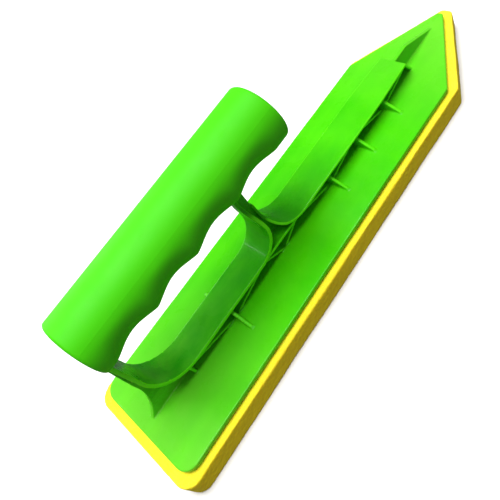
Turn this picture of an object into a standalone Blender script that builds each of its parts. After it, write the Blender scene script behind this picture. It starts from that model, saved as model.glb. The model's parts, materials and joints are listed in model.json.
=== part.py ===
"""A pointed grout float: a ribbed blade moulding, a finger-grooved grip and a foam pad held by an adhesive film.

Metres, +X towards the point, +Z up. The origin is on the working face, below the middle of the foam pad.
Lengths along the float are measured from the blade's rear edge and turned into X by along().
"""

import math

import bmesh
import bpy

GAP = 0.0003  # left between pieces that touch
SHOULDER_ROUNDING = 0.002  # corners of the plate's and the pad's point
TIP_ROUNDING = 0.0015

# Foam pad
PAD_OVERHANG_REAR = 0.0064
PAD_LENGTH = 0.3104
PAD_THICKNESS = 0.0136
PAD_HALF_REAR = 0.0402
PAD_HALF_SHOULDER = 0.0379
PAD_SHOULDER = 0.2484
PAD_TIP_HALF = 0.0034
PAD_CORNER = 0.009

# Adhesive film
FILM_THICKNESS = 0.0004
FILM_INSET = 0.0015

# Blade plate
PLATE_LENGTH = 0.297
PLATE_THICKNESS = 0.003
PLATE_HALF_REAR = 0.0366
PLATE_HALF_SHOULDER = 0.0344
PLATE_SHOULDER = 0.2432
PLATE_TIP_HALF = 0.0018
PLATE_CORNER = 0.008
PLATE_BOTTOM = PAD_THICKNESS + GAP + FILM_THICKNESS + GAP
PLATE_TOP = PLATE_BOTTOM + PLATE_THICKNESS

# Spine: a web along the middle under a broad flange, with truss ribs and gussets on both sides
WEB_THICKNESS = 0.003
FLANGE_HEIGHT = 0.0112
FLANGE_THICKNESS = 0.0016
FLANGE_HALF = 0.0102
FLANGE_END_HALF = 0.0089
FLANGE_FRONT = 0.2455
FLANGE_TAPER_START = 0.216
RIB_THICKNESS = 0.0016
RIB_HALF_TOP = 0.0086
RIB_HALF_FOOT = 0.0063
TRUSS = (0.039, 0.0733, 0.103, 0.1185, 0.1325, 0.1638, 0.1915, 0.2199, 0.2448)  # high, low, high ...
GUSSETS = (0.0733, 0.1638, 0.1915, 0.2199)
FRONT_WALL_FOOT = 0.2515  # the truss ends in a wall that leans forward from the flange's front edge to here
GUSSET_THICKNESS = 0.0018
GUSSET_TOP_HALF = 0.0015
GUSSET_FOOT_HALF = 0.0196
BRIDGE = (0.092, 0.146)  # the flat strip that closes the spine under the front arm
BRIDGE_DROP = 0.0003
BRIDGE_INSET = 0.0004
NOSE_FLAT_END = 0.258
NOSE_TIP = 0.2835
TAIL_EDGE = 0.0183
SINK = 0.001  # how far a rib runs into the plate
OVERLAP = 0.0004  # how far the web and the ribs run into the strips on top of them

# Grip
GRIP_REAR = 0.0222
GRIP_LENGTH = 0.132
GRIP_RADIUS = 0.0172
GRIP_AXIS = PLATE_TOP + 0.0722
GRIP_BORE = 0.0107
GRIP_END_WALL = 0.0075
CRESTS = (0.028, 0.0558, 0.084, 0.1142, 0.1445)  # between and beside the four finger grooves
GROOVE_DEPTH = 0.0029
RIM_RADIUS = 0.002
RING_POINTS = 36
RINGS_PER_GROOVE = 8

# Arms
ARM_THICKNESS = 0.0022
REAR_ARM_FRONT = 0.024
REAR_ARM_HALF = 0.0083
REAR_ARM_REACH = 0.0055  # how far up into the grip the rear arm's strip, the front arm's strip and the web run
FRONT_ARM_REACH = 0.0035
WEB_REACH = 0.0015
FRONT_NECK_REAR = 0.1157
FRONT_NECK_FRONT = 0.1213
NECK_HALF = 0.0024
NECK_LEAN = 0.002  # how far the neck's rear face steps back by the time it meets the grip
NECK_LEAN_HEIGHT = 0.019
CRADLE_HALF = 0.0092
FRONT_NARROWING = (0.022, 0.048)  # heights above the plate between which each strip goes from wide to narrow
REAR_NARROWING = (0.020, 0.055)
FORWARD_NARROWING = (0.015, 0.032)
CRADLE_REAR_RADIUS = 0.023
CRADLE_FRONT_RADIUS = 0.0165
FORWARD_RADIUS = 0.0195
FORWARD_STRAIGHT = 0.008
TAIL_RADIUS = 0.036
TAIL_BEND_HEIGHT = 0.0255
TAIL_TOP = (0.0194, 0.048)  # distance and height where the tail's edge turns towards the grip's rear end
TENON_TOP = GRIP_AXIS - 0.007
TENON_ROOT = GRIP_AXIS - GRIP_RADIUS - 0.004
SADDLE_TOP = GRIP_AXIS - GRIP_RADIUS + 0.0058
CUT_MARGIN = 0.002  # how far a cutter stands out of what it cuts
REAR_TENON = (0.0236, 0.0264, 0.006)  # from, to, half width
FRONT_TENON = (0.1152, 0.12, 0.0022)


def along(distance):
    """The X of a place at this distance in front of the blade's rear edge."""
    return distance + PAD_OVERHANG_REAR - PAD_LENGTH / 2


def clear_scene():
    for obj in list(bpy.data.objects):
        bpy.data.objects.remove(obj, do_unlink=True)


def new_collection(name, hidden=False):
    collection = bpy.data.collections.new(name)
    bpy.context.scene.collection.children.link(collection)
    collection.hide_render = hidden
    return collection


def plastic(name, colour, roughness):
    material = bpy.data.materials.new(name)
    material.use_nodes = True
    shader = material.node_tree.nodes["Principled BSDF"]
    shader.inputs["Base Color"].default_value = (*colour, 1)
    shader.inputs["Roughness"].default_value = roughness
    shader.inputs["Metallic"].default_value = 0
    return material


def mesh_object(name, mesh, collection):
    obj = bpy.data.objects.new(name, mesh)
    collection.objects.link(obj)
    return obj


def rounded(corners, steps=5):
    """Outline points from corners (u, v, radius), each corner turned into an arc that meets both its sides."""
    points = []
    count = len(corners)
    for index, (u, v, radius) in enumerate(corners):
        before, after = corners[index - 1], corners[(index + 1) % count]
        back = math.atan2(before[1] - v, before[0] - u)
        ahead = math.atan2(after[1] - v, after[0] - u)
        opening = (ahead - back + math.pi) % (2 * math.pi) - math.pi
        middle = back + opening / 2
        centre_distance = radius / math.sin(abs(opening) / 2)
        centre_u = u + centre_distance * math.cos(middle)
        centre_v = v + centre_distance * math.sin(middle)
        turn = math.copysign(math.pi - abs(opening), opening)
        start = middle + math.pi + turn / 2
        for step in range(steps + 1):
            angle = start - turn * step / steps
            points.append((centre_u + radius * math.cos(angle), centre_v + radius * math.sin(angle)))
    return points


def slab(name, outline, thickness, collection):
    """A flat outline in XY, filled and given a thickness about z = 0, as a closed mesh."""
    curve = bpy.data.curves.new(name, "CURVE")
    curve.dimensions = "2D"
    curve.fill_mode = "BOTH"
    curve.extrude = thickness / 2
    spline = curve.splines.new("POLY")
    spline.points.add(len(outline) - 1)
    for point, (u, v) in zip(spline.points, outline):
        point.co = (u, v, 0, 1)
    spline.use_cyclic_u = True
    drawn = bpy.data.objects.new(name + "_curve", curve)
    collection.objects.link(drawn)
    evaluated = drawn.evaluated_get(bpy.context.evaluated_depsgraph_get())
    mesh = bpy.data.meshes.new_from_object(evaluated)
    mesh.name = name
    bpy.data.objects.remove(drawn, do_unlink=True)
    shape = bmesh.new()
    shape.from_mesh(mesh)
    bmesh.ops.remove_doubles(shape, verts=shape.verts, dist=1e-6)
    shape.to_mesh(mesh)
    shape.free()
    return mesh_object(name, mesh, collection)


def upright_slab(name, outline, thickness, collection):
    """A slab whose outline is given as (x, z) and whose thickness lies along Y, centred on y = 0."""
    obj = slab(name, outline, thickness, collection)
    obj.rotation_euler = (math.radians(90), 0, 0)
    return obj


def crossways_slab(name, outline, thickness, x, collection):
    """A slab whose outline is given as (y, z) and whose thickness lies along X, centred on x."""
    obj = slab(name, outline, thickness, collection)
    obj.rotation_euler = (math.radians(90), 0, math.radians(90))
    obj.location.x = x
    return obj


def strip(name, path, thickness, collection):
    """A band across the float along a path of (x, z, half width): an open surface thickened about itself."""
    mesh = bpy.data.meshes.new(name)
    shape = bmesh.new()
    rows = [[shape.verts.new((x, side * half, z)) for side in (-1, 1)] for x, z, half in path]
    for (left, right), (next_left, next_right) in zip(rows, rows[1:]):
        shape.faces.new((left, next_left, next_right, right))
    shape.to_mesh(mesh)
    shape.free()
    obj = mesh_object(name, mesh, collection)
    solidify = obj.modifiers.new("thickness", "SOLIDIFY")
    solidify.thickness = thickness
    solidify.offset = 0
    solidify.use_even_offset = True
    return obj


def box(name, low, high, collection):
    """A box between two corners."""
    mesh = bpy.data.meshes.new(name)
    shape = bmesh.new()
    bmesh.ops.create_cube(shape, size=1)
    sizes = [b - a for a, b in zip(low, high)]
    middle = [(a + b) / 2 for a, b in zip(low, high)]
    bmesh.ops.scale(shape, vec=sizes, verts=shape.verts)
    bmesh.ops.translate(shape, vec=middle, verts=shape.verts)
    shape.to_mesh(mesh)
    shape.free()
    return mesh_object(name, mesh, collection)


def combine(target, others, operation):
    """Joins or cuts the target with every object of a collection, in one exact Boolean."""
    boolean = target.modifiers.new(others.name, "BOOLEAN")
    boolean.operation = operation
    boolean.solver = "EXACT"
    boolean.operand_type = "COLLECTION"
    boolean.collection = others
    for other in others.objects:
        other.display_type = "WIRE"
        other.hide_render = True


def pointed_outline(rear, shoulder, tip, half_rear, half_shoulder, half_tip, corner):
    """A rectangle that narrows a little forwards and ends in a blunt point."""
    corners = [
        (rear, -half_rear, corner),
        (shoulder, -half_shoulder, SHOULDER_ROUNDING),
        (tip, -half_tip, TIP_ROUNDING),
        (tip, half_tip, TIP_ROUNDING),
        (shoulder, half_shoulder, SHOULDER_ROUNDING),
        (rear, half_rear, corner),
    ]
    return rounded(corners)


def make_pad(collection):
    outline = pointed_outline(
        -PAD_LENGTH / 2,
        along(PAD_SHOULDER),
        PAD_LENGTH / 2,
        PAD_HALF_REAR,
        PAD_HALF_SHOULDER,
        PAD_TIP_HALF,
        PAD_CORNER,
    )
    pad = slab("foam_pad", outline, PAD_THICKNESS, collection)
    pad.location.z = PAD_THICKNESS / 2
    return pad


def plate_outline(inset=0.0):
    return pointed_outline(
        along(inset),
        along(PLATE_SHOULDER),
        along(PLATE_LENGTH - 2 * inset),
        PLATE_HALF_REAR - inset,
        PLATE_HALF_SHOULDER - inset,
        PLATE_TIP_HALF,
        PLATE_CORNER,
    )


def make_film(collection):
    film = slab("adhesive_film", plate_outline(FILM_INSET), FILM_THICKNESS, collection)
    film.location.z = PAD_THICKNESS + GAP + FILM_THICKNESS / 2
    return film


def arc(centre, radius, start, end, steps):
    """(x, z) points of an arc in the middle plane, its angles in degrees from +X towards +Z."""
    points = []
    for step in range(steps + 1):
        angle = math.radians(start + (end - start) * step / steps)
        points.append((centre[0] + radius * math.cos(angle), centre[1] + radius * math.sin(angle)))
    return points


def blend(value, low, high):
    """0 below low, 1 above high, and a smooth step between them."""
    share = min(max((value - low) / (high - low), 0), 1)
    return share * share * (3 - 2 * share)


def cradle_path():
    """The strip from the rear arm along the spine and up the front arm."""
    level = PLATE_TOP + FLANGE_HEIGHT - ARM_THICKNESS / 2
    rear = along(REAR_ARM_FRONT) - ARM_THICKNESS / 2
    front = along(FRONT_NECK_REAR) + ARM_THICKNESS / 2
    underside = GRIP_AXIS - GRIP_RADIUS
    rear_centre = (rear + CRADLE_REAR_RADIUS, level + CRADLE_REAR_RADIUS)
    front_centre = (front - CRADLE_FRONT_RADIUS, level + CRADLE_FRONT_RADIUS)
    path = [(rear, underside + REAR_ARM_REACH)]
    path += arc(rear_centre, CRADLE_REAR_RADIUS, 180, 270, 10)
    path += arc(front_centre, CRADLE_FRONT_RADIUS, 270, 360, 10)
    path += [(front - NECK_LEAN / 2, front_centre[1] + NECK_LEAN_HEIGHT / 2)]
    path += [(front - NECK_LEAN, front_centre[1] + NECK_LEAN_HEIGHT)]
    path += [(front - NECK_LEAN, underside + FRONT_ARM_REACH)]
    middle = (rear + front) / 2
    return [(x, z, cradle_half(x > middle, z)) for x, z in path]


def cradle_half(front, z):
    """The strip's half width at a height: it narrows a little up the rear arm and to a neck up the front one."""
    if front:
        return CRADLE_HALF + (NECK_HALF - CRADLE_HALF) * blend(z - PLATE_TOP, *FRONT_NARROWING)
    return CRADLE_HALF + (REAR_ARM_HALF - CRADLE_HALF) * blend(z - PLATE_TOP, *REAR_NARROWING)


def forward_path():
    """The strip from the front arm's neck down and forward along the spine to its square end."""
    level = PLATE_TOP + FLANGE_HEIGHT - FLANGE_THICKNESS / 2
    front = along(FRONT_NECK_FRONT) - FLANGE_THICKNESS / 2
    centre = (front + FORWARD_RADIUS, level + FORWARD_RADIUS)
    curve = [(front, centre[1] + FORWARD_STRAIGHT)] + arc(centre, FORWARD_RADIUS, 180, 270, 11)
    path = [(x, z, forward_half(z)) for x, z in curve]
    path.append((along(FLANGE_TAPER_START), level, FLANGE_HALF))
    path.append((along(FLANGE_FRONT), level, FLANGE_END_HALF))
    return path


def forward_half(z):
    """The forward strip's half width at a height: it narrows to the neck as it rises."""
    return FLANGE_HALF + (NECK_HALF - FLANGE_HALF) * blend(z - PLATE_TOP, *FORWARD_NARROWING)


def web_outline():
    """The middle wall, seen from the side: tail fin, rear arm, spine, front arm and nose fin in one outline."""
    foot = PLATE_TOP - SINK
    cradle = cradle_path()
    rear, front = cradle[0][0], cradle[-1][0] + NECK_LEAN
    arm_top = GRIP_AXIS - GRIP_RADIUS + WEB_REACH
    spine_top = PLATE_TOP + FLANGE_HEIGHT - OVERLAP
    flange_middle = PLATE_TOP + FLANGE_HEIGHT - FLANGE_THICKNESS / 2
    front_face = along(FRONT_NECK_FRONT) - OVERLAP
    forward_centre = (front_face + FORWARD_RADIUS, flange_middle + FORWARD_RADIUS)
    tail_x = along(TAIL_EDGE) - TAIL_RADIUS
    tail_reach = math.degrees(math.asin((TAIL_BEND_HEIGHT - OVERLAP) / TAIL_RADIUS))
    tail = arc((tail_x, PLATE_TOP + TAIL_BEND_HEIGHT), TAIL_RADIUS, 4, -tail_reach, 9)
    points = [(along(NOSE_TIP), foot), (along(NOSE_TIP), PLATE_TOP + OVERLAP)]
    points += [(along(NOSE_FLAT_END), spine_top), (along(FLANGE_FRONT) - OVERLAP, spine_top)]
    points += [(along(FLANGE_FRONT) - FLANGE_THICKNESS, flange_middle)]
    points += arc(forward_centre, FORWARD_RADIUS + OVERLAP, 270, 180, 11)
    points += [(front_face, arm_top), (front - NECK_LEAN, arm_top)]
    points += [(x, z) for x, z, _ in reversed(cradle[1:-1])]
    points += [(rear, arm_top), (along(GRIP_REAR), arm_top)]
    points += [(along(TAIL_TOP[0]), PLATE_TOP + TAIL_TOP[1])]
    points += tail
    points += [(tail[-1][0], foot)]
    return points


def rib_paths():
    """The truss: ribs that run down from the flange and up again, with a wall at each end."""
    high = PLATE_TOP + FLANGE_HEIGHT - FLANGE_THICKNESS + OVERLAP
    low = PLATE_TOP - SINK
    paths = []
    for index, (start, end) in enumerate(zip(TRUSS, TRUSS[1:])):
        upper, lower = (start, end) if index % 2 == 0 else (end, start)
        paths.append([(along(upper), high, RIB_HALF_TOP), (along(lower), low, RIB_HALF_FOOT)])
    for end, foot in ((TRUSS[0], TRUSS[0]), (TRUSS[-1], FRONT_WALL_FOOT)):
        paths.append([(along(end), high, RIB_HALF_TOP), (along(foot), low, RIB_HALF_FOOT)])
    return paths


def gusset_outline():
    """(y, z) corners of a wall that slopes from the web's top down to the plate, on both sides."""
    top = PLATE_TOP + FLANGE_HEIGHT - FLANGE_THICKNESS + OVERLAP
    slope = (GUSSET_FOOT_HALF - GUSSET_TOP_HALF) / (top - PLATE_TOP)
    sunk_half = GUSSET_FOOT_HALF + SINK * slope
    return [
        (-sunk_half, PLATE_TOP - SINK),
        (sunk_half, PLATE_TOP - SINK),
        (GUSSET_TOP_HALF, top),
        (-GUSSET_TOP_HALF, top),
    ]


def make_blade(collection, helpers):
    """The blade moulding: plate, spine, both arms and the tenons that hold the grip, joined into one solid."""
    blade = slab("blade_moulding", plate_outline(), PLATE_THICKNESS, collection)
    blade.location.z = PLATE_BOTTOM + PLATE_THICKNESS / 2
    upright_slab("web", web_outline(), WEB_THICKNESS, helpers)
    strip("cradle_strip", cradle_path(), ARM_THICKNESS, helpers)
    strip("forward_strip", forward_path(), FLANGE_THICKNESS, helpers)
    level = PLATE_TOP + FLANGE_HEIGHT - FLANGE_THICKNESS / 2
    bridge = [(along(distance), level - BRIDGE_DROP, CRADLE_HALF - BRIDGE_INSET) for distance in BRIDGE]
    strip("bridge_strip", bridge, FLANGE_THICKNESS, helpers)
    for index, path in enumerate(rib_paths()):
        strip(f"truss_rib_{index}", path, RIB_THICKNESS, helpers)
    for index, distance in enumerate(GUSSETS):
        crossways_slab(f"gusset_{index}", gusset_outline(), GUSSET_THICKNESS, along(distance), helpers)
    for name, (rear, front, half) in (("rear_tenon", REAR_TENON), ("front_tenon", FRONT_TENON)):
        box(name, (along(rear), -half, TENON_ROOT), (along(front), half, TENON_TOP), helpers)
    combine(blade, helpers, "UNION")
    return blade


def grip_radius(distance, angle):
    """The grip's radius at a distance from the blade's rear edge, and at an angle from straight down."""
    for start, end in zip(CRESTS, CRESTS[1:]):
        if start < distance < end:
            dip = math.sin(math.pi * (distance - start) / (end - start)) ** 1.3
            around = 1 - blend(abs(angle), math.radians(60), math.radians(115))
            return GRIP_RADIUS - GROOVE_DEPTH * dip * around
    return GRIP_RADIUS


def grip_stations():
    """(distance, how far the rim's rounding draws the surface in) for each ring of the grip."""
    end = GRIP_REAR + GRIP_LENGTH
    rim = [(RIM_RADIUS * (1 - math.cos(a)), RIM_RADIUS * (1 - math.sin(a))) for a in (0, 0.5, 1.0, math.pi / 2)]
    stations = [(GRIP_REAR + offset, inward) for offset, inward in rim]
    for crest, following in zip(CRESTS, CRESTS[1:]):
        step = (following - crest) / RINGS_PER_GROOVE
        stations += [(crest + step * index, 0) for index in range(RINGS_PER_GROOVE)]
    stations.append((CRESTS[-1], 0))
    stations += [(end - offset, inward) for offset, inward in reversed(rim)]
    return stations


def make_grip(collection, helpers):
    """The grip: a loft of rings, bored from its front end, with a socket for each arm's tenon."""
    mesh = bpy.data.meshes.new("grip")
    shape = bmesh.new()
    rings = []
    for distance, inward in grip_stations():
        ring = []
        for index in range(RING_POINTS):
            angle = 2 * math.pi * index / RING_POINTS
            from_below = (angle + math.pi) % (2 * math.pi) - math.pi
            radius = grip_radius(distance, from_below) - inward
            y, z = radius * math.sin(angle), GRIP_AXIS - radius * math.cos(angle)
            ring.append(shape.verts.new((along(distance), y, z)))
        rings.append(ring)
    for ring, following in zip(rings, rings[1:]):
        for index in range(RING_POINTS):
            other = (index + 1) % RING_POINTS
            shape.faces.new((ring[index], ring[other], following[other], following[index]))
    shape.faces.new(rings[0])
    shape.faces.new(rings[-1])
    bmesh.ops.recalc_face_normals(shape, faces=shape.faces)
    shape.to_mesh(mesh)
    shape.free()
    mesh.shade_smooth()
    mesh.set_sharp_from_angle(angle=math.radians(40))
    grip = mesh_object("grip", mesh, collection)
    make_grip_cutters(helpers)
    combine(grip, helpers, "DIFFERENCE")
    return grip


def make_grip_cutters(helpers):
    """The bore, the tenons' sockets and the recesses that the arms' tops stand in."""
    bore_start = GRIP_REAR + GRIP_END_WALL
    bore_length = GRIP_LENGTH - GRIP_END_WALL + CUT_MARGIN
    bpy.ops.mesh.primitive_cylinder_add(
        vertices=32,
        radius=GRIP_BORE,
        depth=bore_length,
        location=(along(bore_start + bore_length / 2), 0, GRIP_AXIS),
        rotation=(0, math.radians(90), 0),
    )
    bore = bpy.context.object
    bore.name = "grip_bore"
    for owner in list(bore.users_collection):
        owner.objects.unlink(bore)
    helpers.objects.link(bore)
    low = GRIP_AXIS - GRIP_RADIUS - CUT_MARGIN
    for name, (rear, front, half) in (("rear_socket", REAR_TENON), ("front_socket", FRONT_TENON)):
        corner_low = (along(rear) - GAP, -half - GAP, low)
        corner_high = (along(front) + GAP, half + GAP, TENON_TOP + GAP)
        box(name, corner_low, corner_high, helpers)
    saddles = (
        ("rear_saddle", GRIP_REAR - CUT_MARGIN, REAR_ARM_FRONT, REAR_ARM_HALF),
        ("front_saddle", FRONT_NECK_REAR - NECK_LEAN, FRONT_NECK_FRONT, NECK_HALF),
    )
    for name, rear, front, half in saddles:
        corner_low = (along(rear) - GAP, -half - GAP, low)
        corner_high = (along(front) + GAP, half + GAP, SADDLE_TOP)
        box(name, corner_low, corner_high, helpers)


def main():
    clear_scene()
    parts = new_collection("grout_float")
    blade_pieces = new_collection("blade_pieces", hidden=True)
    grip_cutters = new_collection("grip_cutters", hidden=True)
    green = plastic("green_plastic", (0.08, 0.62, 0.02), 0.35)
    grip_green = plastic("grip_plastic", (0.07, 0.55, 0.02), 0.45)
    foam = plastic("yellow_foam", (0.9, 0.72, 0.03), 0.95)
    glue = plastic("clear_adhesive", (0.85, 0.82, 0.6), 0.5)
    pairs = (
        (make_pad(parts), foam),
        (make_film(parts), glue),
        (make_blade(parts, blade_pieces), green),
        (make_grip(parts, grip_cutters), grip_green),
    )
    for obj, material in pairs:
        obj.data.materials.append(material)


main()
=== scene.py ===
"""The finished look of a pointed grout float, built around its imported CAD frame.

Metres, +X towards the point, +Z up. Distances along the float are measured from the blade's rear edge, and
along() turns them into X.
"""

import json
import math

import bmesh
import bpy
import numpy as np
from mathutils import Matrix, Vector, noise

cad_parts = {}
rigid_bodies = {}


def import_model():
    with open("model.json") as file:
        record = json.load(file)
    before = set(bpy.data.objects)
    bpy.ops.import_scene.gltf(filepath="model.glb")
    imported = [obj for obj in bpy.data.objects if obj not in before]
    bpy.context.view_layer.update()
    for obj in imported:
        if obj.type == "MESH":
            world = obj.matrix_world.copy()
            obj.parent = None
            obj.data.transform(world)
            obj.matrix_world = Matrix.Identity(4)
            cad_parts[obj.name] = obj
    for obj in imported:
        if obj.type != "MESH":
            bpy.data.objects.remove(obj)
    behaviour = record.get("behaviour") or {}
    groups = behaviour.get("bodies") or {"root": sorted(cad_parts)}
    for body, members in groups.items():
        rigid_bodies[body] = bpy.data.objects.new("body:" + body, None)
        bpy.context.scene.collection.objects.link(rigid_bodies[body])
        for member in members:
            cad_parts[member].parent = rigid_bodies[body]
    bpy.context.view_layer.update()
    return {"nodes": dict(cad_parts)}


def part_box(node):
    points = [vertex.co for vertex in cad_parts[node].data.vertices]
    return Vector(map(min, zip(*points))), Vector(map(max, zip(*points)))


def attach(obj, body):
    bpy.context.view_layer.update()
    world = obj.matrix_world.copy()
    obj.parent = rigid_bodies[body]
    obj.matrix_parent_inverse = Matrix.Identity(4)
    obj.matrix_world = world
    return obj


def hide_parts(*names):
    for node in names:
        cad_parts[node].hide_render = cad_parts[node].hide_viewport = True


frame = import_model()
BLADE_LOW, BLADE_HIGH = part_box("blade_moulding")
GRIP_LOW, GRIP_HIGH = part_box("grip")
PAD_LOW, PAD_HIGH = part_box("foam_pad")

# Blade plate
PLATE_THICKNESS = 0.003
PLATE_TOP = BLADE_LOW.z + PLATE_THICKNESS
PLATE_HALF_REAR = BLADE_HIGH.y
PLATE_HALF_SHOULDER = 0.0344
PLATE_SHOULDER = 0.2432
PLATE_TIP_HALF = 0.0018
PLATE_CORNER = 0.008
SHOULDER_ROUNDING = 0.002
TIP_ROUNDING = 0.0015

# Spine
WEB_THICKNESS = 0.0026
FLANGE_HEIGHT = 0.0112
FLANGE_THICKNESS = 0.0016
FLANGE_HALF = 0.0102
FLANGE_END_HALF = 0.0089
FLANGE_FRONT = 0.2455
FLANGE_TAPER_START = 0.216
RIB_THICKNESS = 0.0014
RIB_HALF_TOP = 0.0086
RIB_HALF_FOOT = 0.0063
TRUSS = (0.039, 0.0733, 0.103, 0.1185, 0.1325, 0.1638, 0.1915, 0.2199, 0.2448)  # high, low, high ...
GUSSETS = (0.0733, 0.1638, 0.1915, 0.2199)
FRONT_WALL_FOOT = 0.2515
GUSSET_THICKNESS = 0.0018
GUSSET_TOP_HALF = 0.0015
GUSSET_FOOT_HALF = 0.0196
BRIDGE = (0.092, 0.146)  # the flange where it passes under the front arm
BRIDGE_DROP = 0.0003
BRIDGE_INSET = 0.0004
NOSE_FLAT_END = 0.258
NOSE_TIP = 0.2835
TAIL_EDGE = 0.0183
SINK = 0.001  # how far a rib runs into the plate
OVERLAP = 0.0004  # how far the web and the ribs run into the strips on top of them
WEB_FRONT_INSET = 0.0006  # how far behind the flange's square end the nose fin's top ends
WEB_FRONT_SLOPE = 0.002  # how far behind that end the web meets the middle of the flange's thickness
FIN_DROP = 0.0004  # how far the nose fin's top lies below the flange's
FIN_TIP = 0.0004  # how high the fins' tips stand

# Grip
GRIP_RADIUS = (GRIP_HIGH.z - GRIP_LOW.z) / 2
GRIP_AXIS = GRIP_HIGH.z - GRIP_RADIUS
GRIP_REAR = GRIP_LOW.x - BLADE_LOW.x
GRIP_FRONT = GRIP_HIGH.x - BLADE_LOW.x
GRIP_BORE = 0.0107
GRIP_END_WALL = 0.0075
CRESTS = (0.028, 0.0558, 0.084, 0.1142, 0.1445)
GROOVE_DEPTH = 0.0029
GROOVE_SHARPNESS = 1.3  # above 1, the crests between the grooves are round and not pointed
GROOVE_SIDES = (math.radians(60), math.radians(115))  # from straight down, where a groove fades out
RIM_RADIUS = 0.0016
RIM_RINGS = 8
STRAIGHT_RINGS = 130
END_RINGS = (0.002, 0.006, 0.010, 0.0135)  # radii of the rings on the closed rear end
END_DISH = 0.0005
END_DISH_RADIUS = 0.015
BORE_RINGS = (0.0, 0.0004, 0.0012, 0.01, 0.04, 0.08)  # how deep the bore's rings lie, before its end
BORE_FLARE = 0.0006
BORE_FLARE_DEPTH = 0.0012
PARTING_LINE = math.radians(124.5)  # where the mould halves met, up from the underside
PARTING_HEIGHT = 0.00003
PARTING_HALF = 0.00025
PARTING_STEP = 0.00018  # between the grip's points near the line
GRIP_STEPS = 144

# Arms
ARM_THICKNESS = 0.0022
REAR_ARM_FRONT = 0.024
REAR_ARM_HALF = 0.0083
NECK_REAR = 0.1157
NECK_FRONT = 0.1213
NECK_HALF = 0.0024
NECK_LEAN = 0.002
NECK_LEAN_HEIGHT = 0.019
NECK_STEPS = 10
REAR_ARM_STEPS = 8
CRADLE_HALF = 0.0092
CRADLE_REAR_RADIUS = 0.023
CRADLE_FRONT_RADIUS = 0.0165
FORWARD_RADIUS = 0.0195
TAIL_RADIUS = 0.036
TAIL_BEND_HEIGHT = 0.0255
TAIL_ARC_TOP = 4  # degrees
TAIL_STEPS = 20
TAIL_TOP = (0.0194, 0.048)  # distance and height above the plate
FRONT_ARM_REACH = 0.0035  # how far the front arm's strip runs up into the grip
REAR_ARM_REACH = 0.002  # how much further the rear arm's strip runs up
WEB_REACH = 0.0015  # how far the web runs up into the grip
END_CLEARANCE = 0.002  # between a straight stretch's points and its ends
FRONT_NARROWING = (0.022, 0.048)  # heights above the plate between which a strip narrows to its arm
REAR_NARROWING = (0.020, 0.055)
FORWARD_NARROWING = (0.015, 0.032)
FORWARD_STRAIGHT = 0.008
SOCKET_GAP = 0.0003
SOCKET_DEPTH = 0.0058
SOCKET_BEHIND = 0.004  # how far the rear socket reaches behind the rear arm's strip
CUT_MARGIN = 0.002

# Foam pad
PAD_HALF_SHOULDER = 0.0379
PAD_SHOULDER = 0.2484
PAD_TIP_HALF = 0.0034
PAD_CORNER = 0.009
WANDERS = ((32, 0.00035), (190, 0.00012))  # (scale, height) of the uneven cut faces
CELL_SCALE = 420
CELL_REACH = 0.42  # how near a cell's middle a pit begins, and over how much of that it deepens
CELL_SLOPE = 0.3
PIT_DEPTH = 0.00022
PAD_RISE = 0.0001  # how far the wandering top may stand above its flat solid

# Camera and light
CAMERA_PLACE = (-0.0816, -0.1759, 0.2605)
CAMERA_TURN = (35.34, 24.74, -50.37)
CAMERA_LENS = 39.43
CAMERA_SHIFT = (-0.024, -0.12)
LIGHT_AIM = (0, 0, 0.04)


def along(distance):
    """The X of a place at this distance in front of the blade's rear edge."""
    return BLADE_LOW.x + distance


# ---------------------------------------------------------------- shapes

CORNER_STEPS = 12
ARC_STEPS = 24
WELD = 1e-6


def new_object(name, mesh, collection):
    obj = bpy.data.objects.new(name, mesh)
    collection.objects.link(obj)
    return obj


def rounded(corners, steps):
    """Outline points from corners (u, v, radius), each corner made an arc that meets both its sides."""
    points = []
    count = len(corners)
    for index, (u, v, radius) in enumerate(corners):
        before, after = corners[index - 1], corners[(index + 1) % count]
        back = math.atan2(before[1] - v, before[0] - u)
        ahead = math.atan2(after[1] - v, after[0] - u)
        opening = (ahead - back + math.pi) % (2 * math.pi) - math.pi
        middle = back + opening / 2
        centre_distance = radius / math.sin(abs(opening) / 2)
        centre_u = u + centre_distance * math.cos(middle)
        centre_v = v + centre_distance * math.sin(middle)
        turn = math.copysign(math.pi - abs(opening), opening)
        start = middle + math.pi + turn / 2
        for step in range(steps + 1):
            angle = start - turn * step / steps
            points.append((centre_u + radius * math.cos(angle), centre_v + radius * math.sin(angle)))
    return points


def pointed_outline(rear, shoulder, tip, half_rear, half_shoulder, half_tip, corner):
    """A rectangle that narrows a little forwards and ends in a blunt point."""
    corners = [
        (rear, -half_rear, corner),
        (shoulder, -half_shoulder, SHOULDER_ROUNDING),
        (tip, -half_tip, TIP_ROUNDING),
        (tip, half_tip, TIP_ROUNDING),
        (shoulder, half_shoulder, SHOULDER_ROUNDING),
        (rear, half_rear, corner),
    ]
    return rounded(corners, CORNER_STEPS)


def slab(name, outline, thickness, collection):
    """A flat outline in XY, filled and given a thickness about z = 0, as a closed mesh."""
    curve = bpy.data.curves.new(name, "CURVE")
    curve.dimensions = "2D"
    curve.fill_mode = "BOTH"
    curve.extrude = thickness / 2
    spline = curve.splines.new("POLY")
    spline.points.add(len(outline) - 1)
    for point, (u, v) in zip(spline.points, outline):
        point.co = (u, v, 0, 1)
    spline.use_cyclic_u = True
    drawn = new_object(name + "_curve", curve, collection)
    mesh = bpy.data.meshes.new_from_object(drawn.evaluated_get(bpy.context.evaluated_depsgraph_get()))
    bpy.data.objects.remove(drawn, do_unlink=True)
    shape = bmesh.new()
    shape.from_mesh(mesh)
    bmesh.ops.remove_doubles(shape, verts=shape.verts, dist=WELD)
    shape.to_mesh(mesh)
    shape.free()
    return new_object(name, mesh, collection)


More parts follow.
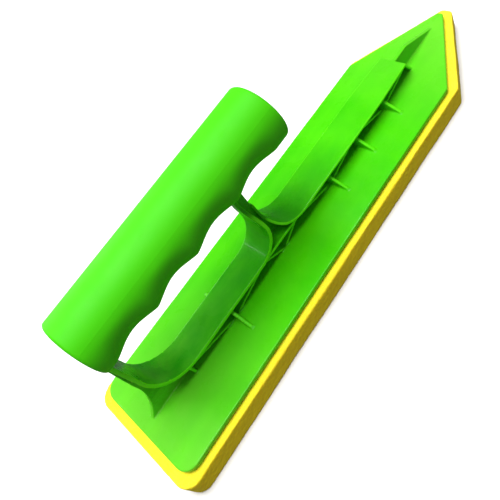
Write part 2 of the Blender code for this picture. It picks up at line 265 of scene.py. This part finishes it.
def upright_slab(name, outline, thickness, collection):
    """A slab whose outline is given as (x, z) and whose thickness lies along Y, centred on y = 0."""
    obj = slab(name, outline, thickness, collection)
    obj.rotation_euler = (math.radians(90), 0, 0)
    return obj


def crossways_slab(name, outline, thickness, x, collection):
    """A slab whose outline is given as (y, z) and whose thickness lies along X, centred on x."""
    obj = slab(name, outline, thickness, collection)
    obj.rotation_euler = (math.radians(90), 0, math.radians(90))
    obj.location.x = x
    return obj


def strip(name, path, thickness, collection):
    """A band across the float along a path of (x, z, half width): an open surface, thickened."""
    mesh = bpy.data.meshes.new(name)
    shape = bmesh.new()
    rows = [[shape.verts.new((x, side * half, z)) for side in (-1, 1)] for x, z, half in path]
    for (left, right), (next_left, next_right) in zip(rows, rows[1:]):
        shape.faces.new((left, next_left, next_right, right))
    shape.to_mesh(mesh)
    shape.free()
    obj = new_object(name, mesh, collection)
    solidify = obj.modifiers.new("thickness", "SOLIDIFY")
    solidify.thickness = thickness
    solidify.offset = 0
    solidify.use_even_offset = True
    return obj


def box(name, low, high, collection):
    mesh = bpy.data.meshes.new(name)
    shape = bmesh.new()
    bmesh.ops.create_cube(shape, size=1)
    bmesh.ops.scale(shape, vec=[b - a for a, b in zip(low, high)], verts=shape.verts)
    bmesh.ops.translate(shape, vec=[(a + b) / 2 for a, b in zip(low, high)], verts=shape.verts)
    shape.to_mesh(mesh)
    shape.free()
    return new_object(name, mesh, collection)


def boolean(target, others, operation):
    """Joins or cuts the target with every object of a collection."""
    change = target.modifiers.new(others.name, "BOOLEAN")
    change.operation = operation
    change.solver = "EXACT"
    change.operand_type = "COLLECTION"
    change.collection = others


def baked(obj, name):
    """A new object with what the modifiers make of obj, in world space; obj is removed."""
    bpy.context.view_layer.update()
    mesh = bpy.data.meshes.new_from_object(obj.evaluated_get(bpy.context.evaluated_depsgraph_get()))
    mesh.transform(obj.matrix_world)
    bpy.data.objects.remove(obj, do_unlink=True)
    return new_object(name, mesh, bpy.context.scene.collection)


def remove_collection(collection):
    for obj in list(collection.objects):
        bpy.data.objects.remove(obj, do_unlink=True)
    bpy.data.collections.remove(collection)


def remesh(obj, voxel, smoothing, keep):
    """An even skin over obj's shape, its edges and corners softened, thinned to a share of its faces."""
    skin = obj.modifiers.new("skin", "REMESH")
    skin.mode = "VOXEL"
    skin.voxel_size = voxel
    skin.use_smooth_shade = True
    soften = obj.modifiers.new("soften", "SMOOTH")
    soften.factor = 0.5
    soften.iterations = smoothing
    thin = obj.modifiers.new("thin", "DECIMATE")
    thin.ratio = keep


def helpers(name):
    collection = bpy.data.collections.new(name)
    bpy.context.scene.collection.children.link(collection)
    return collection


def arc(centre, radius, start, end, steps):
    """(x, z) points of an arc in the middle plane, its angles in degrees from +X towards +Z."""
    points = []
    for step in range(steps + 1):
        angle = math.radians(start + (end - start) * step / steps)
        points.append((centre[0] + radius * math.cos(angle), centre[1] + radius * math.sin(angle)))
    return points


def blend(value, low, high):
    """0 below low, 1 above high, and a smooth step between them."""
    share = min(max((value - low) / (high - low), 0), 1)
    return share * share * (3 - 2 * share)


# ---------------------------------------------------------------- blade moulding


def cradle_path():
    """The strip from the rear arm along the spine and up the front arm."""
    level = PLATE_TOP + FLANGE_HEIGHT - ARM_THICKNESS / 2
    rear = along(REAR_ARM_FRONT) - ARM_THICKNESS / 2
    front = along(NECK_REAR) + ARM_THICKNESS / 2
    top = GRIP_AXIS - GRIP_RADIUS + FRONT_ARM_REACH
    rear_centre = (rear + CRADLE_REAR_RADIUS, level + CRADLE_REAR_RADIUS)
    front_centre = (front - CRADLE_FRONT_RADIUS, level + CRADLE_FRONT_RADIUS)
    path = [(rear, top + REAR_ARM_REACH)]
    straight = np.linspace(top - END_CLEARANCE, rear_centre[1] + END_CLEARANCE, REAR_ARM_STEPS)
    path += [(rear, z) for z in straight]
    path += arc(rear_centre, CRADLE_REAR_RADIUS, 180, 270, ARC_STEPS)
    path += arc(front_centre, CRADLE_FRONT_RADIUS, 270, 360, ARC_STEPS)
    for step in range(1, NECK_STEPS + 1):
        share = step / NECK_STEPS
        path.append((front - NECK_LEAN * blend(share, 0, 1), front_centre[1] + NECK_LEAN_HEIGHT * share))
    path.append((front - NECK_LEAN, top))
    middle = (rear + front) / 2
    return [(x, z, cradle_half(x > middle, z)) for x, z in path]


def narrowed(wide, narrow, z, heights):
    """A strip's half width at z, where it goes from wide to narrow between two heights above the plate."""
    low, high = heights
    return wide + (narrow - wide) * blend(z, PLATE_TOP + low, PLATE_TOP + high)


def cradle_half(front, z):
    if front:
        return narrowed(CRADLE_HALF, NECK_HALF, z, FRONT_NARROWING)
    return narrowed(CRADLE_HALF, REAR_ARM_HALF, z, REAR_NARROWING)


def forward_path():
    """The strip from the front arm's neck down and forward along the spine to its square end."""
    level = PLATE_TOP + FLANGE_HEIGHT - FLANGE_THICKNESS / 2
    front = along(NECK_FRONT) - FLANGE_THICKNESS / 2
    centre = (front + FORWARD_RADIUS, level + FORWARD_RADIUS)
    curve = [(front, centre[1] + FORWARD_STRAIGHT), (front, centre[1] + FORWARD_STRAIGHT / 2)]
    curve += arc(centre, FORWARD_RADIUS, 180, 270, ARC_STEPS)
    path = [(x, z, narrowed(FLANGE_HALF, NECK_HALF, z, FORWARD_NARROWING)) for x, z in curve]
    path.append((along(FLANGE_TAPER_START), level, FLANGE_HALF))
    path.append((along(FLANGE_FRONT), level, FLANGE_END_HALF))
    return path


def web_outline():
    """The middle wall from the side: tail fin, rear arm, spine, front arm and nose fin in one outline."""
    foot = PLATE_TOP - SINK
    cradle = cradle_path()
    rear, front = cradle[0][0], cradle[-1][0] + NECK_LEAN
    arm_top = GRIP_AXIS - GRIP_RADIUS + WEB_REACH
    front_face = along(NECK_FRONT) - OVERLAP
    fin_top = PLATE_TOP + FLANGE_HEIGHT - FIN_DROP
    level = PLATE_TOP + FLANGE_HEIGHT - FLANGE_THICKNESS / 2
    forward_centre = (front_face + FORWARD_RADIUS, level + FORWARD_RADIUS)
    tail_x = along(TAIL_EDGE) - TAIL_RADIUS
    tail_reach = math.degrees(math.asin((TAIL_BEND_HEIGHT - FIN_TIP) / TAIL_RADIUS))
    tail = arc((tail_x, PLATE_TOP + TAIL_BEND_HEIGHT), TAIL_RADIUS, TAIL_ARC_TOP, -tail_reach, TAIL_STEPS)
    points = [(along(NOSE_TIP), foot), (along(NOSE_TIP), PLATE_TOP + FIN_TIP)]
    points += [(along(NOSE_FLAT_END), fin_top), (along(FLANGE_FRONT) - WEB_FRONT_INSET, fin_top)]
    points += [(along(FLANGE_FRONT) - WEB_FRONT_SLOPE, level)]
    points += arc(forward_centre, FORWARD_RADIUS + OVERLAP, 270, 180, ARC_STEPS)
    points += [(front_face, arm_top), (front - NECK_LEAN, arm_top)]
    points += [(x, z) for x, z, _ in reversed(cradle[1:-1])]
    points += [(rear, arm_top), (along(GRIP_REAR), arm_top)]
    points += [(along(TAIL_TOP[0]), PLATE_TOP + TAIL_TOP[1])]
    points += tail
    points += [(tail[-1][0], foot)]
    return points


def rib_paths():
    """The truss: ribs that run down from the flange and up again, with a wall at each end."""
    high = PLATE_TOP + FLANGE_HEIGHT - FLANGE_THICKNESS + OVERLAP
    low = PLATE_TOP - SINK
    paths = []
    for index, (start, end) in enumerate(zip(TRUSS, TRUSS[1:])):
        upper, lower = (start, end) if index % 2 == 0 else (end, start)
        paths.append([(along(upper), high, RIB_HALF_TOP), (along(lower), low, RIB_HALF_FOOT)])
    for end, foot in ((TRUSS[0], TRUSS[0]), (TRUSS[-1], FRONT_WALL_FOOT)):
        paths.append([(along(end), high, RIB_HALF_TOP), (along(foot), low, RIB_HALF_FOOT)])
    return paths


def gusset_outline():
    """(y, z) corners of a wall that slopes from the web's top down to the plate, on both sides."""
    top = PLATE_TOP + FLANGE_HEIGHT - FLANGE_THICKNESS + OVERLAP
    slope = (GUSSET_FOOT_HALF - GUSSET_TOP_HALF) / (top - PLATE_TOP)
    sunk_half = GUSSET_FOOT_HALF + SINK * slope
    return [
        (-sunk_half, PLATE_TOP - SINK),
        (sunk_half, PLATE_TOP - SINK),
        (GUSSET_TOP_HALF, top),
        (-GUSSET_TOP_HALF, top),
    ]


def make_blade():
    """The blade moulding as one softened skin: plate, spine and both arms."""
    outline = pointed_outline(
        BLADE_LOW.x,
        along(PLATE_SHOULDER),
        BLADE_HIGH.x,
        PLATE_HALF_REAR,
        PLATE_HALF_SHOULDER,
        PLATE_TIP_HALF,
        PLATE_CORNER,
    )
    pieces = helpers("blade_pieces")
    blade = slab("blade", outline, PLATE_THICKNESS, bpy.context.scene.collection)
    blade.location.z = BLADE_LOW.z + PLATE_THICKNESS / 2
    upright_slab("web", web_outline(), WEB_THICKNESS, pieces)
    strip("cradle_strip", cradle_path(), ARM_THICKNESS, pieces)
    strip("forward_strip", forward_path(), FLANGE_THICKNESS, pieces)
    level = PLATE_TOP + FLANGE_HEIGHT - FLANGE_THICKNESS / 2
    strip(
        "bridge_strip",
        [(along(distance), level - BRIDGE_DROP, CRADLE_HALF - BRIDGE_INSET) for distance in BRIDGE],
        FLANGE_THICKNESS,
        pieces,
    )
    for index, path in enumerate(rib_paths()):
        strip(f"truss_rib_{index}", path, RIB_THICKNESS, pieces)
    for index, distance in enumerate(GUSSETS):
        crossways_slab(f"gusset_{index}", gusset_outline(), GUSSET_THICKNESS, along(distance), pieces)
    boolean(blade, pieces, "UNION")
    remesh(blade, voxel=0.0004, smoothing=1, keep=0.22)
    blade = baked(blade, "blade_skin")
    remove_collection(pieces)
    return blade


# ---------------------------------------------------------------- grip


def grip_radius(distance, angle):
    """The grip's radius at a distance from the blade's rear edge, and at an angle from straight down."""
    radius = GRIP_RADIUS
    for start, end in zip(CRESTS, CRESTS[1:]):
        if start < distance < end:
            dip = math.sin(math.pi * (distance - start) / (end - start)) ** GROOVE_SHARPNESS
            around = 1 - blend(abs(angle), *GROOVE_SIDES)
            radius -= GROOVE_DEPTH * dip * around
    off_line = (abs(angle) - PARTING_LINE) * GRIP_RADIUS / PARTING_HALF
    return radius + PARTING_HEIGHT * math.exp(-off_line * off_line)


def grip_angles():
    """Angles round the grip from straight down, closer together at the two parting lines."""
    angles = set(round(2 * math.pi * step / GRIP_STEPS, 5) for step in range(GRIP_STEPS))
    for line in (PARTING_LINE, 2 * math.pi - PARTING_LINE):
        angles |= set(round(line + offset * PARTING_STEP / GRIP_RADIUS, 5) for offset in range(-4, 5))
    return sorted(angles)


def grip_profile():
    """(distance, how far the surface is drawn in) for each ring of the outside, rear rim to front rim."""
    rim = [
        (RIM_RADIUS * (1 - math.cos(a)), RIM_RADIUS * (1 - math.sin(a)))
        for a in np.linspace(0, math.pi / 2, RIM_RINGS)
    ]
    profile = [(GRIP_REAR + offset, inward) for offset, inward in rim]
    straight = np.linspace(GRIP_REAR + 2 * RIM_RADIUS, GRIP_FRONT - 2 * RIM_RADIUS, STRAIGHT_RINGS)
    profile += [(distance, 0.0) for distance in straight]
    profile += [(GRIP_FRONT - offset, inward) for offset, inward in reversed(rim)]
    return profile


def make_grip():
    """The grip: a loft of fine rings, open at the front, with sockets where the arms enter."""
    shape = bmesh.new()
    angles = grip_angles()
    rings = []

    def add_ring(distance, radius_at):
        ring = []
        for angle in angles:
            from_below = (angle + math.pi) % (2 * math.pi) - math.pi
            radius = radius_at(from_below)
            place = (along(distance), radius * math.sin(angle), GRIP_AXIS - radius * math.cos(angle))
            ring.append(shape.verts.new(place))
        rings.append(ring)

    for radius in END_RINGS:
        dish = END_DISH * (1 - radius / END_DISH_RADIUS)
        add_ring(GRIP_REAR + dish, lambda _, r=radius: r)
    for distance, inward in grip_profile():
        add_ring(distance, lambda angle, d=distance, i=inward: grip_radius(d, angle) - i)
    for depth in (*BORE_RINGS, GRIP_FRONT - GRIP_REAR - GRIP_END_WALL):
        flare = BORE_FLARE * (1 - blend(depth, 0, BORE_FLARE_DEPTH))
        add_ring(GRIP_FRONT - depth, lambda _, f=flare: GRIP_BORE + f)
    for ring, following in zip(rings, rings[1:]):
        for index in range(len(angles)):
            other = (index + 1) % len(angles)
            shape.faces.new((ring[index], ring[other], following[other], following[index]))
    shape.faces.new(rings[0])
    shape.faces.new(rings[-1])
    bmesh.ops.recalc_face_normals(shape, faces=shape.faces)
    mesh = bpy.data.meshes.new("grip_loft")
    shape.to_mesh(mesh)
    shape.free()
    grip = new_object("grip_loft", mesh, bpy.context.scene.collection)
    cutters = helpers("grip_cutters")
    low = GRIP_AXIS - GRIP_RADIUS - CUT_MARGIN
    high = GRIP_AXIS - GRIP_RADIUS + SOCKET_DEPTH
    sockets = (
        ("rear_socket", REAR_ARM_FRONT - ARM_THICKNESS - SOCKET_BEHIND, REAR_ARM_FRONT, REAR_ARM_HALF),
        ("front_socket", NECK_REAR - NECK_LEAN, NECK_FRONT, NECK_HALF),
    )
    for name, rear, front, half in sockets:
        corner_low = (along(rear) - SOCKET_GAP, -half - SOCKET_GAP, low)
        corner_high = (along(front) + SOCKET_GAP, half + SOCKET_GAP, high)
        box(name, corner_low, corner_high, cutters)
    boolean(grip, cutters, "DIFFERENCE")
    grip = baked(grip, "grip_sleeve")
    remove_collection(cutters)
    grip.data.shade_smooth()
    grip.data.set_sharp_from_angle(angle=math.radians(40))
    return grip


# ---------------------------------------------------------------- foam


def make_pad():
    """The sponge: a cut slab whose faces wander a little and are pitted with open cells."""
    outline = pointed_outline(
        PAD_LOW.x,
        along(PAD_SHOULDER),
        PAD_HIGH.x,
        PAD_HIGH.y,
        PAD_HALF_SHOULDER,
        PAD_TIP_HALF,
        PAD_CORNER,
    )
    thickness = PAD_HIGH.z - PAD_LOW.z
    pad = slab("pad", outline, thickness, bpy.context.scene.collection)
    pad.location.z = PAD_LOW.z + thickness / 2
    remesh(pad, voxel=0.0009, smoothing=2, keep=1.0)
    pad = baked(pad, "sponge")
    mesh = pad.data
    moved = np.empty(len(mesh.vertices) * 3, np.float32)
    for index, vertex in enumerate(mesh.vertices):
        place, normal = vertex.co, vertex.normal
        wander = sum(rise * noise.noise(place * scale) for scale, rise in WANDERS)
        cells, _ = noise.voronoi(place * CELL_SCALE)
        pit = PIT_DEPTH * blend(CELL_REACH - cells[0], 0, CELL_SLOPE)
        spot = place + normal * (wander - pit)
        spot.z = min(max(spot.z, PAD_LOW.z), PAD_HIGH.z + PAD_RISE)
        moved[3 * index : 3 * index + 3] = spot
    mesh.vertices.foreach_set("co", moved)
    mesh.update()
    mesh.shade_smooth()
    return pad


# ---------------------------------------------------------------- materials


class Nodes:
    """A new material's node tree, with short ways to add and link nodes."""

    def __init__(self, name):
        self.material = bpy.data.materials.new(name)
        self.material.use_nodes = True
        self.tree = self.material.node_tree
        self.shader = self.tree.nodes["Principled BSDF"]
        self.place = self.add("ShaderNodeTexCoord").outputs["Object"]

    def add(self, kind, inputs=None, **settings):
        node = self.tree.nodes.new(kind)
        for key, value in settings.items():
            setattr(node, key, value)
        for key, value in (inputs or {}).items():
            if isinstance(value, bpy.types.NodeSocket):
                self.tree.links.new(value, node.inputs[key])
            else:
                node.inputs[key].default_value = value
        return node

    def noise(self, scale, detail=3.0, stretch=None):
        place = self.place
        if stretch:
            place = self.add("ShaderNodeMapping", {"Vector": place, "Scale": stretch}).outputs[0]
        made = self.add("ShaderNodeTexNoise", {"Vector": place, "Scale": scale, "Detail": detail})
        return made.outputs["Fac"]

    def span(self, value, low, high, to_low, to_high):
        """A value from low to high, mapped to to_low to to_high and clamped."""
        settings = {"Value": value, "From Min": low, "From Max": high, "To Min": to_low, "To Max": to_high}
        return self.add("ShaderNodeMapRange", settings).outputs["Result"]

    def mix(self, share, first, second):
        made = self.add("ShaderNodeMix", data_type="RGBA")
        for key, value in ((0, share), (6, first), (7, second)):
            if isinstance(value, bpy.types.NodeSocket):
                self.tree.links.new(value, made.inputs[key])
            else:
                made.inputs[key].default_value = value
        return made.outputs[2]

    def calculate(self, operation, first, second=0.0):
        return self.add("ShaderNodeMath", {0: first, 1: second}, operation=operation).outputs[0]

    def parts(self, vector):
        """The X, Y and Z of a vector, as three sockets."""
        return self.add("ShaderNodeSeparateXYZ", {0: vector}).outputs

    def bump(self, height, distance, strength=1.0, under=None):
        inputs = {"Height": height, "Distance": distance, "Strength": strength}
        if under is not None:
            inputs["Normal"] = under
        return self.add("ShaderNodeBump", inputs).outputs["Normal"]

    def set(self, **inputs):
        for key, value in inputs.items():
            socket = self.shader.inputs[key.replace("_", " ")]
            if isinstance(value, bpy.types.NodeSocket):
                self.tree.links.new(value, socket)
            else:
                socket.default_value = value


def moulded_plastic(name, light, dark, painted_sheen, edge, painted_shadow, smooth, rough, sink, grain, gloss, coat):
    """Green moulded plastic: cloudy colour, flow lines, painted highlights on thin edges, a grain and
    slight sink marks.

    After light and dark, the next colour is painted sheen: a milkier tone mixed in, in places, towards the
    float's ends. The one after is paler. It colours the flow lines, and it is also a painted highlight on
    convex edges and on the thin side faces above the plate, standing in for light let through the plastic.
    The last is painted shadow of the grip: a darker colour laid over the spine and arms above the plate,
    in drawn-out patches.
    """
    nodes = Nodes(name)
    cloud = nodes.noise(38, 4)
    flow = nodes.noise(60, 3, stretch=(0.12, 1.0, 1.0))
    body = nodes.mix(nodes.span(cloud, 0.35, 0.65, 0, 1), light, dark)
    # Painted sheen: a milkier colour mixed in, in patches, towards both ends of the float.
    from_middle = nodes.calculate("ABSOLUTE", nodes.parts(nodes.place)["X"])
    towards_ends = nodes.span(from_middle, 0.06, 0.14, 0, 0.8)
    end_sheen = nodes.calculate("MULTIPLY", towards_ends, nodes.span(nodes.noise(25, 3), 0.3, 0.6, 0.4, 1))
    body = nodes.mix(end_sheen, body, painted_sheen)
    body = nodes.mix(nodes.span(flow, 0.5, 0.72, 0, 0.12), body, edge)
    # Painted shadow of the grip: from the flange's top upwards, a darker colour in drawn-out patches. It
    # is at full strength up to just in front of the front arm and fades to a little at the flange's taper.
    height = nodes.parts(nodes.place)["Z"]
    on_spine = nodes.span(height, PLATE_TOP + FLANGE_HEIGHT - 0.0012, PLATE_TOP + FLANGE_HEIGHT, 0, 1)
    patches = nodes.span(nodes.noise(70, 4, stretch=(0.5, 1.0, 1.0)), 0.32, 0.68, 0.15, 1)
    lengthways = nodes.parts(nodes.place)["X"]
    behind = nodes.span(lengthways, along(NECK_FRONT + 0.01), along(FLANGE_TAPER_START), 1, 0.15)
    deep = nodes.calculate("MULTIPLY", nodes.calculate("MULTIPLY", on_spine, patches), behind)
    body = nodes.mix(deep, body, painted_shadow)
    # Painted highlight: above the plate, convex edges and faces turned sideways away from the web take the
    # paler colour, standing in for light coming through the thin plastic.
    geometry = nodes.add("ShaderNodeNewGeometry").outputs
    raised = nodes.span(height, PLATE_TOP + 0.0004, PLATE_TOP + 0.0010, 0, 1)
    convex_highlight = nodes.span(geometry["Pointiness"], 0.51, 0.6, 0, 0.8)
    tilt = nodes.calculate("ABSOLUTE", nodes.parts(geometry["Normal"])["Y"])
    side_face_highlight = nodes.span(tilt, 0.35, 0.65, 0, 0.9)
    off_web = nodes.span(nodes.calculate("ABSOLUTE", nodes.parts(nodes.place)["Y"]), 0.004, 0.0055, 0, 1)
    thin = nodes.calculate("MAXIMUM", convex_highlight, nodes.calculate("MULTIPLY", side_face_highlight, off_web))
    colour = nodes.mix(nodes.calculate("MULTIPLY", thin, raised), body, edge)
    scuffs = nodes.noise(420, 6, stretch=(0.3, 1.0, 1.0))
    roughness = nodes.span(nodes.noise(90, 5), 0.3, 0.7, smooth, rough)
    worn = nodes.calculate("ADD", roughness, nodes.span(scuffs, 0.6, 0.75, 0, 0.08))
    waves = nodes.bump(nodes.noise(45, 2), sink)
    skin = nodes.bump(nodes.noise(1700, 3), grain, under=waves)
    nodes.set(Base_Color=colour, Roughness=worn, Normal=skin)
    nodes.set(Subsurface_Weight=0.25, Subsurface_Radius=(0.6, 1.0, 0.25), Subsurface_Scale=0.003)
    nodes.set(Specular_IOR_Level=gloss, IOR=1.49, Coat_Weight=coat, Coat_Roughness=0.1)
    return nodes.material


def sponge():
    """Yellow open-cell foam: a mottled body, bumpy cells at two sizes, and painted shade in the cells and
    on the cut sides.
    """
    nodes = Nodes("yellow_sponge")
    light, deep = (1.0, 0.84, 0.04, 1), (0.97, 0.75, 0.025, 1)
    # The second pair: painted shade for the cut sides, a deeper, more saturated yellow, then painted shade
    # for the cells.
    side, pore_shade = (1.0, 0.74, 0.006, 1), (0.86, 0.62, 0.01, 1)
    mottled = nodes.mix(nodes.span(nodes.noise(160, 5), 0.35, 0.65, 0, 0.5), light, deep)
    cells = nodes.add("ShaderNodeTexVoronoi", {"Vector": nodes.place, "Scale": 700}).outputs["Distance"]
    fine = nodes.add("ShaderNodeTexVoronoi", {"Vector": nodes.place, "Scale": 1500}).outputs["Distance"]
    # Painted shade in the foam's cells: a darker colour mixed in near each cell's middle.
    pore_shade_share = nodes.span(cells, 0.05, 0.35, 0.25, 0)
    # Painted shade on the cut sides: faces that do not face upwards take the deeper yellow.
    facing = nodes.parts(nodes.add("ShaderNodeNewGeometry").outputs["Normal"])["Z"]
    body = nodes.mix(nodes.span(facing, 0.3, 0.8, 0, 1), side, mottled)
    colour = nodes.mix(pore_shade_share, body, pore_shade)
    coarse = nodes.bump(cells, 0.00018)
    skin = nodes.bump(fine, 0.0001, under=coarse)
    nodes.set(Base_Color=colour, Roughness=nodes.span(fine, 0, 0.6, 0.85, 1.0), Normal=skin)
    nodes.set(Subsurface_Weight=0.3, Subsurface_Radius=(1.0, 0.75, 0.1), Subsurface_Scale=0.002)
    nodes.set(Specular_IOR_Level=0.1, Sheen_Weight=0.05, Sheen_Roughness=0.6)
    return nodes.material


def glue():
    """The adhesive film's cut edge: cloudy, slightly yellow and smeared."""
    nodes = Nodes("adhesive")
    smear = nodes.noise(220, 4, stretch=(0.4, 1.0, 1.0))
    colour = nodes.mix(nodes.span(smear, 0.35, 0.65, 0, 1), (0.75, 0.70, 0.35, 1), (0.52, 0.46, 0.14, 1))
    roughness = nodes.span(smear, 0.3, 0.7, 0.3, 0.55)
    nodes.set(Base_Color=colour, Roughness=roughness, Normal=nodes.bump(smear, 0.0001))
    nodes.set(Subsurface_Weight=0.2, Subsurface_Scale=0.001)
    return nodes.material


def paint(obj, material):
    obj.data.materials.clear()
    obj.data.materials.append(material)


# ---------------------------------------------------------------- stage


def make_floor():
    mesh = bpy.data.meshes.new("floor")
    shape = bmesh.new()
    bmesh.ops.create_grid(shape, x_segments=1, y_segments=1, size=4)
    shape.to_mesh(mesh)
    shape.free()
    floor = new_object("floor", mesh, bpy.context.scene.collection)
    floor.location.z = PAD_LOW.z
    nodes = Nodes("pale_floor")
    nodes.set(Base_Color=(0.93, 0.93, 0.93, 1), Roughness=0.7, Specular_IOR_Level=0.2)
    paint(floor, nodes.material)
    floor.visible_diffuse = False  # it throws no light up into the ribs
    floor.visible_glossy = False


def softbox(name, direction, distance, size, power):
    """A square light that looks at the middle of the float."""
    light = bpy.data.lights.new(name, "AREA")
    light.energy = power
    light.size = size
    lamp = new_object(name, light, bpy.context.scene.collection)
    towards = Vector(direction).normalized()
    lamp.location = Vector(LIGHT_AIM) + towards * distance
    lamp.rotation_euler = towards.to_track_quat("Z", "Y").to_euler()
    lamp.visible_camera = False


def make_light():
    softbox("key", (0.0, 0.04, 1.0), 1.2, 0.9, 24.5)
    softbox("far_side", (-0.3, 0.9, 0.3), 1.5, 1.2, 9.5)
    softbox("glint", (-0.52, 0.6, 0.6), 1.2, 0.04, 0.5)
    world = bpy.data.worlds.new("studio")
    world.use_nodes = True
    world.node_tree.nodes["Background"].inputs["Color"].default_value = (1, 1, 1, 1)
    world.node_tree.nodes["Background"].inputs["Strength"].default_value = 0.22
    bpy.context.scene.world = world
    bpy.context.scene.view_settings.view_transform = "Standard"


def make_camera():
    lens = bpy.data.cameras.new("camera")
    lens.lens = CAMERA_LENS
    lens.shift_x, lens.shift_y = CAMERA_SHIFT
    lens.clip_start = 0.01
    camera = new_object("camera", lens, bpy.context.scene.collection)
    camera.location = CAMERA_PLACE
    camera.rotation_euler = [math.radians(angle) for angle in CAMERA_TURN]
    bpy.context.scene.camera = camera


# ---------------------------------------------------------------- assembly


def main():
    make_camera()
    make_light()
    make_floor()
    blade_plastic = moulded_plastic(
        "blade_plastic",
        light=(0.068, 0.57, 0.002, 1),
        dark=(0.046, 0.51, 0.0015, 1),
        painted_sheen=(0.15, 0.60, 0.03, 1),
        edge=(0.15, 0.90, 0.008, 1),
        painted_shadow=(0.022, 0.38, 0.0005, 1),
        smooth=0.24,
        rough=0.34,
        sink=0.0006,
        grain=0.00002,
        gloss=0.1,
        coat=0.06,
    )
    grip_plastic = moulded_plastic(
        "grip_plastic",
        light=(0.062, 0.58, 0.002, 1),
        dark=(0.052, 0.54, 0.0015, 1),
        painted_sheen=(0.070, 0.58, 0.003, 1),
        edge=(0.062, 0.58, 0.002, 1),
        painted_shadow=(0.056, 0.55, 0.0015, 1),
        smooth=0.48,
        rough=0.58,
        sink=0.0003,
        grain=0.00003,
        gloss=0.16,
        coat=0.0,
    )
    blade, grip, pad = make_blade(), make_grip(), make_pad()
    film = frame["nodes"]["adhesive_film"]
    for piece, node, slot, material in (
        (blade, "blade_moulding", "blade_plastic", blade_plastic),
        (grip, "grip", "grip_plastic", grip_plastic),
        (pad, "foam_pad", "foam", sponge()),
    ):
        paint(piece, material)
        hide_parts(node)
        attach(piece, "root")
    paint(film, glue())


main()
